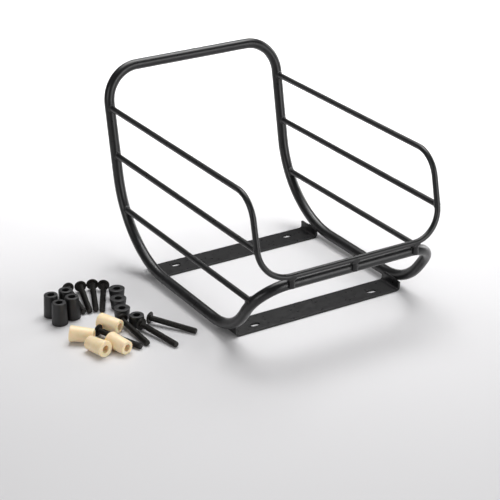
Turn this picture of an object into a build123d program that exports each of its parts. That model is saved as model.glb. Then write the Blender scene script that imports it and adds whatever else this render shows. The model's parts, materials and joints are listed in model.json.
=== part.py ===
from build123d import *
import os
from math import atan, degrees, radians, sqrt, tan

# Bicycle cargo rack welded from round tube, round bar and two flat straps, with its loose mounting kit.
# Millimetres. +Z up, +X to the right, +Y towards the tall hoop.
# The origin is the middle of the four mounting slots, on the underside of the straps.

# ---- main loop: thick tube ----
main_radius = 7.5
main_wall = 1.5
half_width = 140.0           # middle plane to the runner's centreline
runner_z = 11.5              # height of the runners' centreline
rear_knee_y = 174.0          # where the runner line would meet the upright's line
hoop_lean = 10.0             # degrees that the uprights lean back
top_bar_z = 274.0
front_knee_y = -127.5        # where the runner line would meet the rising line
front_bar_y = -192.0
front_bar_z = 96.5
rear_bend_radius = 135.0
top_corner_radius = 49.0
front_bend_radius = 99.0
front_corner_radius = 45.0
seam_y = 0.0                 # butt weld between the two halves, half-way along each runner

# ---- thin bar: upper hoop, side rails and pins ----
bar_radius = 4.0
top_rail_z = 221.0
middle_rail_z = 153.0
lower_rail_z = 77.0
drop_top_y = -176.0          # the upper hoop's front corner, seen from the side
drop_foot_y = -200.5
drop_foot_z = 111.5
drop_corner_radius = 38.0
foot_corner_radius = 43.0
cope_depth = 2.5             # how far short of a thin bar's centreline a coped end stops
pin_spacing = 97.0
pin_offset = 2.5             # how far right of the middle plane the middle pin stands
pin_foot_z = 95.0

# ---- mounting straps: flat bar with ends bent up ----
slot_pitch_x = 190.0
slot_pitch_y = 220.0
slot_length = 15.0
slot_width = 9.0
strap_width = 40.0
strap_thickness = 3.0
strap_overhang = 15.0        # slot line to the strap's outer edge
ear_height = 13.5
ear_bend_radius = 3.0        # inside radius of the bend
ear_bite = 0.7               # how deep the ear's saddle sits on the runner

# ---- loose mounting kit ----
screw_length = 70.0
screw_radius = 4.0
screw_tip_chamfer = 0.8
head_radius = 8.5
head_height = 4.4
head_rim = 0.8               # straight rim under the dome
socket_across_flats = 5.0
socket_depth = 2.6
spacer_bore = 5.0
spacer_chamfer = 0.7
tall_height, tall_foot, tall_top = 32.0, 11.2, 9.5
short_height, short_wide, short_narrow = 15.0, 11.6, 9.8

# Where each loose piece lies: the head or foot end, and the heading in degrees from +X.
fan_screws = [(-265.5, 110.9, -97.8), (-248.3, 106.6, -105.3), (-231.5, 103.4, -112.1), (-219.2, 93.2, -117.8)]
spread_screws = [(-210.2, -29.1, -57.2), (-228.6, -39.7, -76.8), (-244.9, -14.3, -88.3), (-285.1, -25.0, -63.7)]
tall_spots = [(-312.9, 61.5), (-290.0, 64.3), (-313.3, 34.4), (-291.2, 41.3)]
short_spots = [(-213.6, 63.1), (-225.4, 35.1), (-234.4, 6.2), (-226.8, -22.6)]
cream_spots = [(-322.7, -18.0, -39.0), (-273.2, -5.7, -60.4), (-302.5, -82.4, 105.5), (-285.4, -60.6, -72.5)]


def upright_y(z):
    """Y of the leaning upright's centreline at height z."""
    return rear_knee_y + (z - runner_z) * tan(radians(hoop_lean))


def drop_y(z):
    """Y of the upper hoop's sloping drop at height z."""
    share = (top_rail_z - z) / (top_rail_z - drop_foot_z)
    return drop_top_y + share * (drop_foot_y - drop_top_y)


def both_sides(side_points):
    """A route up one side and down the other, from the (y, z) points of one side."""
    left = [(-half_width, y, z) for y, z in side_points]
    right = [(half_width, y, z) for y, z in reversed(side_points)]
    return left + right


def bar(points, radii, radius):
    """Round bar bent along a route with rounded corners."""
    path = FilletPolyline(*points, radius=radii) if radii else Line(*points)
    return sweep(Plane(origin=path @ 0, z_dir=path % 0) * Circle(radius), path=path)


def half_loop(side_points, side_radii):
    """One half of the main loop: its outer shape and its bore."""
    route = both_sides(side_points)
    radii = side_radii + side_radii[::-1]
    return bar(route, radii, main_radius), bar(route, radii, main_radius - main_wall)


def straight(start, end):
    return bar([start, end], None, bar_radius)


def strap(middle_y):
    """Flat strap with both ends bent up into ears."""
    ear_x = half_width - main_radius + ear_bite - strap_thickness / 2
    mid_z = strap_thickness / 2
    corners = [(-ear_x, ear_height), (-ear_x, mid_z), (ear_x, mid_z), (ear_x, ear_height)]
    bend = ear_bend_radius + strap_thickness / 2
    path = FilletPolyline(*[(x, middle_y, z) for x, z in corners], radius=bend)
    section = Plane(origin=path @ 0, x_dir=(0, 1, 0), z_dir=path % 0) * Rectangle(strap_width, strap_thickness)
    return sweep(section, path=path)


def slots(line_y):
    cutter = extrude(SlotOverall(slot_length, slot_width), strap_thickness * 2, both=True)
    return [Pos(side * slot_pitch_x / 2, line_y, 0) * cutter for side in (-1, 1)]


def taper_spacer(height, foot, top):
    """Tapered sleeve standing on its foot, with a straight bore and eased rims."""
    ease = spacer_chamfer
    slant = ease * (foot - top) / height
    outline = [(spacer_bore, 0), (foot - ease, 0), (foot - slant, ease),
               (top + slant, height - ease), (top - ease, height), (spacer_bore, height)]
    return revolve(Plane.XZ * make_face(Polyline(*outline, close=True)), Axis.Z)


def screw():
    """Wide button-head socket screw along +X, the head's underside at x = 0."""
    dome_rise = head_height - head_rim
    dome_radius = (head_radius ** 2 + dome_rise ** 2) / (2 * dome_rise)
    dome = Pos(-head_height + dome_radius, 0, 0) * Sphere(dome_radius)
    along = Plane(origin=(-head_height, 0, 0), z_dir=(1, 0, 0))
    head = extrude(along * Circle(head_radius), head_height) & dome
    head -= extrude(along * RegularPolygon(socket_across_flats / 2, 6, major_radius=False), socket_depth)
    shank = extrude(Plane.YZ * Circle(screw_radius), screw_length)
    shank = chamfer(shank.edges().sort_by(Axis.X)[-1], screw_tip_chamfer)
    return head + shank


def laid_down(piece, drop, x, y, heading):
    """A piece made along +X, its far end lowered by drop degrees, turned and rested on the floor at (x, y)."""
    laid = Rot(0, 0, heading) * Rot(0, drop, 0) * piece
    return Pos(x, y, -laid.bounding_box().min.Z) * laid


def save(name, shape):
    export_step(shape if isinstance(shape, Solid) else shape.solids()[0], f"parts/{name}.step")


os.makedirs("parts", exist_ok=True)

# Main loop
rear_side = [(seam_y, runner_z), (rear_knee_y, runner_z), (upright_y(top_bar_z), top_bar_z)]
front_side = [(seam_y, runner_z), (front_knee_y, runner_z), (front_bar_y, front_bar_z)]
rear_outer, rear_bore = half_loop(rear_side, [rear_bend_radius, top_corner_radius])
front_outer, front_bore = half_loop(front_side, [front_bend_radius, front_corner_radius])
save("tall_hoop_tube", rear_outer - rear_bore)
save("front_loop_tube", front_outer - front_bore)

# Upper hoop, coped onto the uprights
hoop_side = [(upright_y(top_rail_z), top_rail_z), (drop_top_y, top_rail_z), (drop_foot_y, drop_foot_z)]
hoop_radii = [drop_corner_radius, foot_corner_radius, foot_corner_radius, drop_corner_radius]
upper_hoop = bar(both_sides(hoop_side), hoop_radii, bar_radius)
save("upper_hoop_bar", upper_hoop - rear_outer)

# Side rails: the middle ones end on the upper hoop, the lower ones on the main loop
rear_bend_centre_y = rear_knee_y - rear_bend_radius * tan(radians(90 - hoop_lean) / 2)
rear_bend_rise = rear_bend_radius - (lower_rail_z - runner_z)
lower_rail_rear_y = rear_bend_centre_y + sqrt(rear_bend_radius ** 2 - rear_bend_rise ** 2)
rise_share = (lower_rail_z - runner_z) / (front_bar_z - runner_z)
lower_rail_front_y = front_knee_y + rise_share * (front_bar_y - front_knee_y)
for side, label in ((-1, "left"), (1, "right")):
    x = side * half_width
    middle = straight((x, drop_y(middle_rail_z) + cope_depth, middle_rail_z),
                      (x, upright_y(middle_rail_z), middle_rail_z))
    lower = straight((x, lower_rail_front_y, lower_rail_z), (x, lower_rail_rear_y, lower_rail_z))
    save(f"middle_rail_{label}", middle - rear_outer - upper_hoop)
    save(f"lower_rail_{label}", lower - rear_outer - front_outer)

# Pins between the two front crossbars
for step, label in ((-1, "left"), (0, "centre"), (1, "right")):
    x = pin_offset + step * pin_spacing
    pin = straight((x, drop_foot_y, pin_foot_z), (x, drop_foot_y, drop_foot_z - cope_depth))
    save(f"tie_pin_{label}", pin - upper_hoop - front_outer)

# Mounting straps
for side, label, outer in ((-1, "front", front_outer), (1, "rear", rear_outer)):
    line_y = side * slot_pitch_y / 2
    middle_y = line_y + side * (strap_overhang - strap_width / 2)
    save(f"mounting_strap_{label}", strap(middle_y) - slots(line_y) - outer)

# Loose mounting kit
screw_drop = degrees(atan((head_radius - screw_radius) / (screw_length - screw_tip_chamfer)))
for number, (x, y, heading) in enumerate(fan_screws + spread_screws, 1):
    save(f"mounting_screw_{number}", laid_down(screw(), screw_drop, x, y, heading))

tall = taper_spacer(tall_height, tall_foot, tall_top)
lying_tall = Rot(0, 90, 0) * tall
lying_drop = degrees(atan((tall_foot - tall_top) / tall_height))
for number, (x, y) in enumerate(tall_spots, 1):
    save(f"tall_spacer_{number}", Pos(x, y, 0) * tall)
for number, (x, y, heading) in enumerate(cream_spots, 1):
    save(f"cream_spacer_{number}", laid_down(lying_tall, lying_drop, x, y, heading))

narrow_up = taper_spacer(short_height, short_wide, short_narrow)
wide_up = Pos(0, 0, short_height) * Rot(180, 0, 0) * narrow_up
for number, (x, y) in enumerate(short_spots, 1):
    save(f"short_spacer_{number}", Pos(x, y, 0) * (narrow_up if number == len(short_spots) else wide_up))
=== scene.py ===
import json
import math

import bmesh
import bpy
import numpy as np
from mathutils import Matrix, Vector
from mathutils.bvhtree import BVHTree

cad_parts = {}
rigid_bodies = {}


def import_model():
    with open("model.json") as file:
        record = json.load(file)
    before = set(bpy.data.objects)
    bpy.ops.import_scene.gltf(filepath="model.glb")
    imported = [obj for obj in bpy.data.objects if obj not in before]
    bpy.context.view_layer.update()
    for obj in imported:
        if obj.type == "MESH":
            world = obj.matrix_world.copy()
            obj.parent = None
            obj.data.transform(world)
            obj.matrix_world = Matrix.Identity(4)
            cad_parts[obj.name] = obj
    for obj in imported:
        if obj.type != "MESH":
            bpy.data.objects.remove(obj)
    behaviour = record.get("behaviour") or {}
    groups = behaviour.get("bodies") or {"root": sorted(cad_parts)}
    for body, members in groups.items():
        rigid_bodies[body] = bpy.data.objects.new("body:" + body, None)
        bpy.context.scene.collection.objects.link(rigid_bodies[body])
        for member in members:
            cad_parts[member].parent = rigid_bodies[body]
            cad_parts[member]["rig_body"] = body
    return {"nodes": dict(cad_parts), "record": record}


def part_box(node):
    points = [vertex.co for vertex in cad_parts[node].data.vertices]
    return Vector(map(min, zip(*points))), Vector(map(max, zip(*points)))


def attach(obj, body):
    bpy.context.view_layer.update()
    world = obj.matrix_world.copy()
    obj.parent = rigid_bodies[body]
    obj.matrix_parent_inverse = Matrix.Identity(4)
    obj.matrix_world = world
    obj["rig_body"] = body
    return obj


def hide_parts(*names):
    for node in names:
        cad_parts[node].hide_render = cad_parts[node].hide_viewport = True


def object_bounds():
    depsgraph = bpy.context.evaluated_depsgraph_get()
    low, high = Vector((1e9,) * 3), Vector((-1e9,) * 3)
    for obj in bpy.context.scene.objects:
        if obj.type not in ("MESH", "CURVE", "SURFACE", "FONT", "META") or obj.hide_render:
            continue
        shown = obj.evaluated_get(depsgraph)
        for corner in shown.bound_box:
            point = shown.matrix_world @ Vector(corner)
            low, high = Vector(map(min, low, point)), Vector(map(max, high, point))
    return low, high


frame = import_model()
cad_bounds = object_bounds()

# Looks of a bicycle cargo rack and the loose screws and spacers of its mounting kit.
# Metres, in the frame of the CAD model: +X right, +Y towards the tall hoop, +Z up.

MM = 0.001

# ---- meshes ----
merge_distance = 0.002 * MM
collapse_distance = 0.001 * MM
flat_angle = 0.5                 # degrees; faces that differ by less are merged before the edges are rounded
cut_angle = 40.0                 # degrees; edges that turn by more are cut edges

# ---- stock sizes, as in the CAD model ----
bar_radius = 4.0 * MM
crossing_radius = 0.96 * bar_radius   # a bar's end meets a bar as thick as itself only inside this radius

# ---- welds ----
bead_leg = 2.2 * MM              # how far a bead reaches along each of the two surfaces
pin_leg = 3.0 * MM               # the same for the heavier beads on the pins
bead_root = 0.5 * MM             # how deep a bead's root is sunk in the joint
bead_bulge = 0.10                # rise of its face, as a share of the leg
bead_steps = 72                  # sections along one bead
face_steps = 6                   # steps across its face
toe_depth = 0.12 * MM            # how far the edges of its face are pressed in
toe_power = 6                    # how tightly that keeps to the edges
end_leg = 0.35                   # leg at the ends of an open bead, as a share of the full one
end_growth = 4.0                 # how fast it grows from there, per length of the bead
ripple_pitch = 1.7 * MM
ripple_depth = 0.16 * MM
ear_reach = 2.2 * MM             # widest gap that the bead on an ear bridges
ear_inset = 0.4 * MM             # from the ear's outer face to the bead's root
ear_margin = 1.2 * MM            # length of the ear without a bead at each end
skin_shares = (1.0, 0.9, 0.8, 0.7, 0.6, 0.5)      # where a bar's end is felt for, as shares of its radius

# ---- straps ----
strap_edge = 0.5 * MM            # rounding of the cut edges under the coat

# ---- screws: M8 button head, fully threaded ----
screw_length = 70.0 * MM
thread_radius = 4.0 * MM
thread_root = 3.3 * MM
thread_pitch = 1.25 * MM
thread_neck = 1.6 * MM           # plain length under the head
neck_radius = 3.8 * MM
tip_radius = 3.1 * MM
tip_chamfer = 0.9 * MM
head_radius = 8.5 * MM
head_height = 4.4 * MM
head_rim = 0.8 * MM
dome_shares = (0.93, 0.84, 0.74, 0.64, 0.55)      # rings of the dome, as shares of the head's radius
socket_flat = 2.5 * MM           # centre to flat
socket_depth = 2.6 * MM
mouth_radius = 3.1 * MM          # where the dome ends at the socket
mouth_lead = 0.25 * MM           # how much wider the socket is at its mouth
mouth_depth = 0.2 * MM
screw_segments = 36
screw_turn = 0.7                 # radians from one screw to the next, so that they don't look alike

# One pitch of the thread's outline: how far along it, as a share, and the radius there.
thread_outline = ((0.125, thread_root), (0.4375, thread_radius),
                  (0.5625, thread_radius), (0.875, thread_root))

# ---- spacers ----
spacer_bore = 5.0 * MM
spacer_edge = 0.9 * MM
bore_edge = 0.45 * MM
parting_ridge = 0.09 * MM
spacer_segments = 96
spacer_turn = 0.9                # radians from one spacer to the next
tall_size = (32.0 * MM, 11.2 * MM, 9.5 * MM)      # height, wide radius, narrow radius
short_size = (15.0 * MM, 11.6 * MM, 9.8 * MM)


# ------------------------------------------------------------------ mesh helpers

def body_of(node):
    return frame["nodes"][node]["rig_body"]


def nodes_named(start):
    return sorted(node for node in frame["nodes"] if node.startswith(start))


def clamp(value, low, high):
    return min(max(value, low), high)


def make_piece(name, bm, material, body, sharp_angle):
    """A finished mesh piece riding on a body, pressed back to the CAD model's box where it would pass it."""
    for vert in bm.verts:
        vert.co = [clamp(c, low, high) for c, low, high in zip(vert.co, *cad_bounds)]
    bmesh.ops.remove_doubles(bm, verts=bm.verts, dist=merge_distance)
    bmesh.ops.dissolve_degenerate(bm, edges=bm.edges, dist=collapse_distance)
    bmesh.ops.recalc_face_normals(bm, faces=bm.faces)
    mesh = bpy.data.meshes.new(name)
    bm.to_mesh(mesh)
    bm.free()
    mesh.polygons.foreach_set("use_smooth", [True] * len(mesh.polygons))
    mesh.set_sharp_from_angle(angle=math.radians(sharp_angle))
    mesh.materials.append(material)
    piece = bpy.data.objects.new(name, mesh)
    bpy.context.scene.collection.objects.link(piece)
    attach(piece, body)
    return piece


def loft(bm, rings, closed_rows=False):
    """Quads between rings of equal length, each ring a closed loop of points."""
    rows = [[bm.verts.new(point) for point in ring] for ring in rings]
    pairs = list(zip(rows, rows[1:]))
    if closed_rows:
        pairs.append((rows[-1], rows[0]))
    count = len(rows[0])
    for near, far in pairs:
        for i in range(count):
            j = (i + 1) % count
            bm.faces.new((near[i], near[j], far[j], far[i]))
    return rows


def cap(bm, row):
    """Fan of triangles closing a ring."""
    middle = sum((v.co for v in row), Vector()) / len(row)
    centre = bm.verts.new(middle)
    for a, b in zip(row, row[1:] + row[:1]):
        bm.faces.new((a, b, centre))


def eased(corners, radii, steps=4):
    """A closed outline in the plane with each corner rounded to its radius."""
    points = []
    count = len(corners)
    for i, radius in enumerate(radii):
        corner = Vector(corners[i])
        before = (Vector(corners[i - 1]) - corner).normalized()
        after = (Vector(corners[(i + 1) % count]) - corner).normalized()
        half = before.angle(after) / 2
        middle = corner + (before + after).normalized() * radius / math.sin(half)
        start = corner + before * radius / math.tan(half) - middle
        end = corner + after * radius / math.tan(half) - middle
        for step in range(steps + 1):
            points.append(middle + start.normalized().slerp(end.normalized(), step / steps) * radius)
    return points


def lying(node, own_axis, wide_end):
    """Where a loose turned piece lies, as found from the CAD solid that it replaces.

    The piece is modelled along own_axis, where wide_end is the place of its wide end."""
    mesh = frame["nodes"][node].data
    mesh.calc_loop_triangles()
    points = np.array([v.co for v in mesh.vertices])
    a, b, c = (points[[t.vertices[i] for t in mesh.loop_triangles]] for i in range(3))
    # Volume, centre and second moments, summed over the tetrahedra from the origin to each triangle.
    share = np.einsum("ij,ij->i", a, np.cross(b, c))
    volume = share.sum() / 6
    centre = ((a + b + c) * share[:, None]).sum(0) / 24 / volume
    spread = sum(np.einsum("i,ij,ik->jk", share, p, p) for p in (a, b, c, a + b + c)) / 120
    values, axes = np.linalg.eigh(spread - volume * np.outer(centre, centre))
    # Two of the three main moments are alike, and the odd one belongs to the piece's axis.
    odd_one = 0 if values[1] - values[0] > values[2] - values[1] else 2
    axis = axes[:, odd_one]
    along = (points - centre) @ axis
    off_axis = np.linalg.norm(points - centre - np.outer(along, axis), axis=1)
    if off_axis[along < 0].max() < off_axis[along > 0].max():
        axis, along = -axis, -along
    start = Vector(centre + axis * (along.min() - wide_end))
    return Matrix.Translation(start) @ Vector(axis).to_track_quat(own_axis, "Y").to_matrix().to_4x4()


# ------------------------------------------------------------------ materials

def new_material(name):
    """A material, its node tree and its shader."""
    material = bpy.data.materials.new(name)
    material.use_nodes = True
    tree = material.node_tree
    return material, tree, tree.nodes["Principled BSDF"]


def noise(tree, place, size, detail=3.0):
    """Noise whose features are about size metres across."""
    texture = tree.nodes.new("ShaderNodeTexNoise")
    texture.inputs["Scale"].default_value = 1.0 / size
    texture.inputs["Detail"].default_value = detail
    tree.links.new(place.outputs["Object"], texture.inputs["Vector"])
    return texture


def vary(tree, texture, socket, low, high, start=0.3, stop=0.7):
    """Takes a socket from low to high as the texture goes from start to stop."""
    ramp = tree.nodes.new("ShaderNodeValToRGB")
    ramp.color_ramp.elements[0].position = start
    ramp.color_ramp.elements[1].position = stop
    ramp.color_ramp.elements[0].color = (*low, 1)
    ramp.color_ramp.elements[1].color = (*high, 1)
    tree.links.new(texture.outputs["Fac"], ramp.inputs["Fac"])
    tree.links.new(ramp.outputs["Color"], socket)


def grey(value):
    return (value, value, value)


def raise_surface(tree, texture, shader, height, under=None, strength=0.6):
    """Bumps of a height from the texture, on the shader and on top of any bumps under them."""
    bump = tree.nodes.new("ShaderNodeBump")
    bump.inputs["Strength"].default_value = strength
    bump.inputs["Distance"].default_value = height
    tree.links.new(texture.outputs["Fac"], bump.inputs["Height"])
    if under:
        tree.links.new(under.outputs["Normal"], bump.inputs["Normal"])
    tree.links.new(bump.outputs["Normal"], shader.inputs["Normal"])
    return bump


def powder_coat():
    """Satin black powder coat: orange peel, fine grain and slight mottling."""
    material, tree, shader = new_material("satin_powder_coat")
    place = tree.nodes.new("ShaderNodeTexCoord")
    base, roughness = shader.inputs["Base Color"], shader.inputs["Roughness"]
    vary(tree, noise(tree, place, 9 * MM), base, (0.005, 0.005, 0.0055), (0.011, 0.011, 0.0115))
    vary(tree, noise(tree, place, 5 * MM), roughness, grey(0.27), grey(0.37))
    peel = raise_surface(tree, noise(tree, place, 1.6 * MM, 1.0), shader, 0.06 * MM)
    raise_surface(tree, noise(tree, place, 0.3 * MM, 2.0), shader, 0.016 * MM, peel)
    shader.inputs["Specular IOR Level"].default_value = 0.45
    return material


def coated_steel():
    """Black coated steel of the screws."""
    material, tree, shader = new_material("black_coated_steel")
    place = tree.nodes.new("ShaderNodeTexCoord")
    base, roughness = shader.inputs["Base Color"], shader.inputs["Roughness"]
    vary(tree, noise(tree, place, 2.5 * MM), base, (0.010, 0.009, 0.008), (0.022, 0.019, 0.016))
    vary(tree, noise(tree, place, 1.2 * MM), roughness, grey(0.34), grey(0.5))
    raise_surface(tree, noise(tree, place, 0.3 * MM), shader, 0.01 * MM)
    shader.inputs["Metallic"].default_value = 0.35
    return material


def moulded_plastic(name, low, high, rough, grain):
    """Moulded plastic with a fine spark-eroded grain, as a material and its shader."""
    material, tree, shader = new_material(name)
    place = tree.nodes.new("ShaderNodeTexCoord")
    base, roughness = shader.inputs["Base Color"], shader.inputs["Roughness"]
    vary(tree, noise(tree, place, 7 * MM), base, low, high)
    vary(tree, noise(tree, place, 3 * MM), roughness, grey(rough - 0.05), grey(rough + 0.06))
    raise_surface(tree, noise(tree, place, 0.35 * MM, 2.0), shader, grain)
    return material, shader


def black_plastic():
    """Opaque plastic of the black spacers."""
    material, _ = moulded_plastic("black_moulded_plastic", (0.005, 0.005, 0.0055), (0.009, 0.009, 0.0095),
                                  0.42, 0.02 * MM)
    return material


def cream_plastic():
    """Undyed plastic of the cream spacers, which lets light through its skin."""
    material, shader = moulded_plastic("cream_moulded_plastic", (0.93, 0.72, 0.45), (0.96, 0.79, 0.54),
                                       0.36, 0.01 * MM)
    shader.inputs["Subsurface Weight"].default_value = 0.5
    shader.inputs["Subsurface Radius"].default_value = (1.0, 0.6, 0.3)
    shader.inputs["Subsurface Scale"].default_value = 6 * MM
    return material


def studio_floor():
    """Pale table top with a soft sheen."""
    material, _, shader = new_material("studio_floor")
    shader.inputs["Base Color"].default_value = (0.735, 0.73, 0.74, 1)
    shader.inputs["Roughness"].default_value = 0.32
    shader.inputs["Specular IOR Level"].default_value = 0.2
    return material


# ------------------------------------------------------------------ the rack

upward = Vector((0, 0, 1))
backward = Vector((0, 1, 0))
forward = Vector((0, -1, 0))

coat = powder_coat()
for node in frame["record"]["behaviour"]["bodies"]["rack"]:
    part = frame["nodes"][node]
    part.data.materials.clear()
    part.data.materials.append(coat)


def middle_of(node):
    low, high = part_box(node)
    return (low + high) / 2


def surface_of(node):
    """A searchable surface of a CAD node."""
    mesh = frame["nodes"][node].data
    corners = [v.co.copy() for v in mesh.vertices]
    faces = [list(polygon.vertices) for polygon in mesh.polygons]
    return BVHTree.FromPolygons(corners, faces)


def bead(name, joint, closed=True, leg_length=bead_leg):
    """A weld bead along a joint, which lists root points and the directions up the two surfaces."""
    sections = []
    travelled = 0.0
    for i, (root, first, second) in enumerate(joint):
        if i:
            travelled += (root - joint[i - 1][0]).length
        swell = ripple_depth * math.cos(2 * math.pi * travelled / ripple_pitch)
        from_end = min(i, len(joint) - 1 - i) / len(joint)
        taper = 1.0 if closed else min(1.0, end_leg + end_growth * from_end)
        leg = (leg_length + swell) * taper
        outward = (first + second).normalized()
        section = [root - outward * bead_root]
        for step in range(face_steps + 1):
            share = step / face_steps
            straight = root + first * leg * (1 - share) + second * leg * share
            bulge = math.sin(math.pi * share) * (bead_bulge * leg + swell)
            toe = toe_depth * abs(2 * share - 1) ** toe_power
            section.append(straight + outward * (bulge - toe))
        sections.append(section)
    bm = bmesh.new()
    rows = loft(bm, sections, closed_rows=closed)
    if not closed:
        cap(bm, rows[0])
        cap(bm, rows[-1])
    make_piece(name, bm, coat, "rack", sharp_angle=75.0)


def round_end(start, heading, side, radius, surface):
    """The joint round a bar's end, felt for along the bar from its skin, or from deeper where that misses.

    side is where the joint starts. Directions in which nothing is met are left out of it."""
    other = heading.cross(side)
    joint = []
    for i in range(bead_steps):
        turn = 2 * math.pi * i / bead_steps
        out = side * math.cos(turn) + other * math.sin(turn)
        for share in skin_shares:
            point, normal, _, _ = surface.ray_cast(start + out * radius * share, heading)
            if point:
                along = out - normal * out.dot(normal)
                joint.append((point, -heading, along.normalized()))
                break
    return joint


def pin_joint(start, radius, surface):
    """The joint along a pin that runs down the front of a tube: an arch over the tube's top."""
    joint = []
    for i in range(bead_steps + 1):
        turn = math.pi * i / bead_steps
        out = Vector((math.cos(turn), math.sin(turn), 0))
        point, normal, _, _ = surface.ray_cast(start + out * radius, -upward)
        if point:
            along = out - normal * out.dot(normal)
            joint.append((point, upward, along.normalized()))
    return joint


def ear_joint(node, sign, surface):
    """The joint between the top of a strap's ear and the runner, along the ear."""
    low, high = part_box(node)
    edge_x = high.x if sign > 0 else low.x
    length = high.y - low.y - 2 * ear_margin
    joint = []
    for i in range(bead_steps + 1):
        y = low.y + ear_margin + length * i / bead_steps
        corner = Vector((edge_x - sign * ear_inset, y, high.z))
        point, normal, _, gap = surface.find_nearest(corner)
        if gap < ear_reach:
            up = backward.cross(normal).normalized()
            up = up if up.z > 0 else -up
            joint.append(((corner + point) / 2, Vector((-sign, 0, 0)), up))
    return joint


uprights = surface_of("tall_hoop_tube")
loop = surface_of("front_loop_tube")
hoop = surface_of("upper_hoop_bar")
hoop_low, hoop_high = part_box("upper_hoop_bar")
for side, sign in (("left", -1), ("right", 1)):
    middle = middle_of(f"middle_rail_{side}")
    bead(f"weld_middle_rail_rear_{side}", round_end(middle, backward, upward, bar_radius, uprights))
    bead(f"weld_middle_rail_front_{side}", round_end(middle, forward, upward, crossing_radius, hoop))
    middle = middle_of(f"lower_rail_{side}")
    bead(f"weld_lower_rail_rear_{side}", round_end(middle, backward, upward, bar_radius, uprights))
    bead(f"weld_lower_rail_front_{side}", round_end(middle, forward, upward, bar_radius, loop))
    middle_y = (hoop_low.y + hoop_high.y) / 2
    middle = Vector((sign * (hoop_high.x - bar_radius), middle_y, hoop_high.z - bar_radius))
    bead(f"weld_upper_hoop_{side}", round_end(middle, backward, upward, bar_radius, uprights))
    bead(f"weld_front_ear_{side}", ear_joint("mounting_strap_front", sign, loop), closed=False)
    bead(f"weld_rear_ear_{side}", ear_joint("mounting_strap_rear", sign, uprights), closed=False)

for label in ("left", "centre", "right"):
    pin = f"tie_pin_{label}"
    middle = middle_of(pin)
    top = round_end(middle, upward, forward, crossing_radius, hoop)
    bead(f"weld_pin_top_{label}", top, leg_length=pin_leg)
    foot = pin_joint(Vector((middle.x, middle.y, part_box(pin)[1].z)), bar_radius, loop)
    bead(f"weld_pin_foot_{label}", foot, closed=False, leg_length=pin_leg)


def eased_copy(name, node, width):
    """A node's own solid with its cut edges rounded."""
    bm = bmesh.new()
    bm.from_mesh(frame["nodes"][node].data)
    bmesh.ops.remove_doubles(bm, verts=bm.verts, dist=merge_distance)
    bmesh.ops.dissolve_limit(bm, angle_limit=math.radians(flat_angle), verts=bm.verts, edges=bm.edges)
    sharp = [e for e in bm.edges if e.calc_face_angle(0.0) > math.radians(cut_angle)]
    bmesh.ops.bevel(bm, geom=sharp, offset=width, segments=3, profile=0.5, affect="EDGES",
                    clamp_overlap=True)
    piece = make_piece(name, bm, coat, body_of(node), sharp_angle=60.0)
    weighted = piece.modifiers.new("even_shading", "WEIGHTED_NORMAL")
    weighted.keep_sharp = True
    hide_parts(node)


for end in ("front", "rear"):
    eased_copy(f"eased_strap_{end}", f"mounting_strap_{end}", strap_edge)


# ------------------------------------------------------------------ screws

screw_angles = [2 * math.pi * i / screw_segments for i in range(screw_segments)]


def screw_ring(x, radius_at):
    """Points round the screw's axis, at a radius that depends on the angle."""
    return [Vector((x, radius_at(t) * math.cos(t), radius_at(t) * math.sin(t))) for t in screw_angles]


def screw_circle(x, radius):
    return screw_ring(x, lambda turn: radius)


def hexagon(turn):
    """Radius of the socket's hexagon at an angle."""
    return socket_flat / math.cos((turn % (math.pi / 3)) - math.pi / 6)


def add_head(bm):
    """Domed head with a socket, from its underside at x = 0 to the bottom of the socket."""
    rise = head_height - head_rim
    dome = (head_radius ** 2 + rise ** 2) / (2 * rise)

    def dome_x(radius):
        return -head_height + dome - math.sqrt(dome ** 2 - radius ** 2)

    # The flat underside, the rounding of its edge and the slightly drawn-in rim: x and radius of each ring.
    rim = ((0, neck_radius), (0, head_radius - 0.3 * MM), (-0.1 * MM, head_radius - 0.08 * MM),
           (-0.3 * MM, head_radius), (-head_rim, head_radius - 0.02 * MM))
    rings = [screw_circle(x, radius) for x, radius in rim]
    rings += [screw_circle(dome_x(head_radius * share), head_radius * share) for share in dome_shares]
    # The socket: its eased mouth, its walls and the eased edge of its floor.
    mouth = dome_x(mouth_radius)
    bottom = -head_height + socket_depth
    rings += [screw_ring(mouth, lambda t: hexagon(t) + mouth_lead),
              screw_ring(mouth + mouth_depth, hexagon),
              screw_ring(bottom - 0.05 * MM, hexagon),
              screw_ring(bottom, lambda t: hexagon(t) - 0.15 * MM)]
    rows = loft(bm, rings)
    cap(bm, rows[-1])


def add_thread(bm):
    """Threaded shank. The mesh's rows climb with the helix, and are clipped at the neck and the tip."""
    per_pitch = len(thread_outline)
    count = per_pitch * (math.ceil(screw_length / thread_pitch) + 2)
    grid = {}
    for j in range(count):
        phase, radius = thread_outline[j % per_pitch]
        for i, turn in enumerate(screw_angles):
            x = thread_pitch * (j // per_pitch + phase - 1 + i / screw_segments)
            x = clamp(x, 0.0, screw_length)
            depth = clamp((x - thread_neck) / thread_pitch, 0.0, 1.0)
            r = neck_radius + (radius - neck_radius) * depth
            r = min(r, tip_radius + (screw_length - x) * (thread_radius - tip_radius) / tip_chamfer)
            grid[i, j] = bm.verts.new((x, r * math.cos(turn), r * math.sin(turn)))
    last = screw_segments - 1
    for j in range(count - 1):
        for i in range(last):
            bm.faces.new((grid[i, j], grid[i + 1, j], grid[i + 1, j + 1], grid[i, j + 1]))
        # After a full turn each row goes on as the row one pitch further.
        k = j + per_pitch
        if k + 1 < count:
            bm.faces.new((grid[last, j], grid[0, k], grid[0, k + 1], grid[last, j + 1]))
    cap(bm, [bm.verts.new(point) for point in screw_circle(screw_length, tip_radius)])


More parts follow.
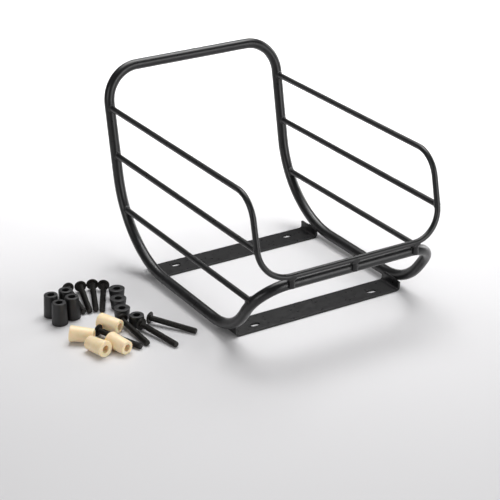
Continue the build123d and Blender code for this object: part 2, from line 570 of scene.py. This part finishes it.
steel = coated_steel()
for number, node in enumerate(nodes_named("mounting_screw"), 1):
    bm = bmesh.new()
    add_head(bm)
    add_thread(bm)
    spin = Matrix.Rotation(screw_turn * number, 3, "X")
    bmesh.ops.rotate(bm, verts=bm.verts, cent=(0, 0, 0), matrix=spin)
    bm.transform(lying(node, "X", -head_height))
    piece = make_piece(f"threaded_screw_{number}", bm, steel, body_of(node), sharp_angle=28.0)
    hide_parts(node)


# ------------------------------------------------------------------ spacers

def spacer_mesh(size):
    """Moulded tapered sleeve standing on its foot, with eased rims and a faint parting line outside."""
    height, foot, top = size
    foot, top = foot - parting_ridge, top - parting_ridge
    middle_radius = (spacer_bore + top) / 2
    outline = eased([(spacer_bore, 0), (foot, 0), (top, height), (spacer_bore, height)],
                    [bore_edge, spacer_edge, spacer_edge, bore_edge])
    rings = []
    for i in range(spacer_segments):
        turn = 2 * math.pi * i / spacer_segments
        ridge = parting_ridge if i % (spacer_segments // 2) == 0 else 0.0
        ring = []
        for point in outline:
            radius = point.x + (ridge if point.x > middle_radius else 0.0)
            ring.append(Vector((radius * math.cos(turn), radius * math.sin(turn), point.y)))
        rings.append(ring)
    bm = bmesh.new()
    loft(bm, rings, closed_rows=True)
    return bm


black, cream = black_plastic(), cream_plastic()
kinds = (("tall", tall_size, black, "black_nylon"),
         ("short", short_size, black, "black_nylon"),
         ("cream", tall_size, cream, "cream_nylon"))
for kind, size, material, slot in kinds:
    for number, node in enumerate(nodes_named(f"{kind}_spacer"), 1):
        bm = spacer_mesh(size)
        spin = Matrix.Rotation(spacer_turn * number, 3, "Z")
        bmesh.ops.rotate(bm, verts=bm.verts, cent=(0, 0, 0), matrix=spin)
        bm.transform(lying(node, "Z", 0.0))
        piece = make_piece(f"moulded_{kind}_spacer_{number}", bm, material, body_of(node),
                           sharp_angle=50.0)
        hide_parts(node)


# ------------------------------------------------------------------ studio

def direction(azimuth, elevation):
    """Unit vector towards a place; azimuth 0 is -Y and 90 is +X."""
    a, e = math.radians(azimuth), math.radians(elevation)
    return Vector((math.sin(a) * math.cos(e), -math.cos(a) * math.cos(e), math.sin(e)))


def area_light(name, aim, azimuth, elevation, distance, size, power, spread):
    """A rectangular light shining at a point, seen from there in a direction and at a distance."""
    data = bpy.data.lights.new(name, "AREA")
    data.shape = "RECTANGLE"
    data.size, data.size_y = size
    data.energy = power
    data.spread = math.radians(spread)
    light = bpy.data.objects.new(name, data)
    towards = direction(azimuth, elevation)
    light.location = Vector(aim) + towards * distance
    light.rotation_euler = towards.to_track_quat("Z", "Y").to_euler()
    bpy.context.scene.collection.objects.link(light)


floor_reach = 7.0                # from the middle to each side
floor_corners = [(floor_reach * x, floor_reach * y, 0) for x, y in ((-1, -1), (1, -1), (1, 1), (-1, 1))]
floor_mesh = bpy.data.meshes.new("floor")
floor_mesh.from_pydata(floor_corners, [], [(0, 1, 2, 3)])
floor_mesh.materials.append(studio_floor())
floor = bpy.data.objects.new("floor", floor_mesh)
bpy.context.scene.collection.objects.link(floor)

world = bpy.data.worlds.new("studio")
world.use_nodes = True
background = world.node_tree.nodes["Background"]
background.inputs["Color"].default_value = (1.0, 0.99, 0.99, 1)
background.inputs["Strength"].default_value = 0.12
bpy.context.scene.world = world

area_light("key_from_above", aim=(0.1, 0.3, 0), azimuth=135, elevation=76, distance=2.0,
           size=(1.8, 1.6), power=41, spread=180)
area_light("far_floor_light", aim=(0.6, 1.25, 0), azimuth=135, elevation=88, distance=1.6,
           size=(2.6, 1.4), power=25, spread=90)
area_light("front_right_softbox", aim=(0, 0, 0), azimuth=20, elevation=13, distance=2.2,
           size=(1.6, 1.2), power=6.5, spread=90)
area_light("right_rim_softbox", aim=(0, 0, 0), azimuth=98, elevation=14, distance=2.2,
           size=(1.2, 1.0), power=5, spread=90)
area_light("front_left_fill", aim=(0, 0, 0), azimuth=-75, elevation=20, distance=2.4,
           size=(1.2, 1.0), power=3, spread=90)

camera_place = (-1.06739, -1.71957, 0.98336)
camera_azimuth = -30.963
camera_elevation = 24.853
camera_roll = 0.360
focal_length = 114.07            # millimetres, on a sensor 36 mm wide

camera_data = bpy.data.cameras.new("camera")
camera_data.sensor_width = 36.0
camera_data.lens = focal_length
camera = bpy.data.objects.new("camera", camera_data)
looking = (-direction(camera_azimuth, camera_elevation)).to_track_quat("-Z", "Y").to_matrix()
tilt = Matrix.Rotation(math.radians(-camera_roll), 3, "Z")
camera.matrix_world = Matrix.Translation(camera_place) @ (looking @ tilt).to_4x4()
bpy.context.scene.collection.objects.link(camera)
bpy.context.scene.camera = camera
bpy.context.scene.view_settings.view_transform = "Standard"
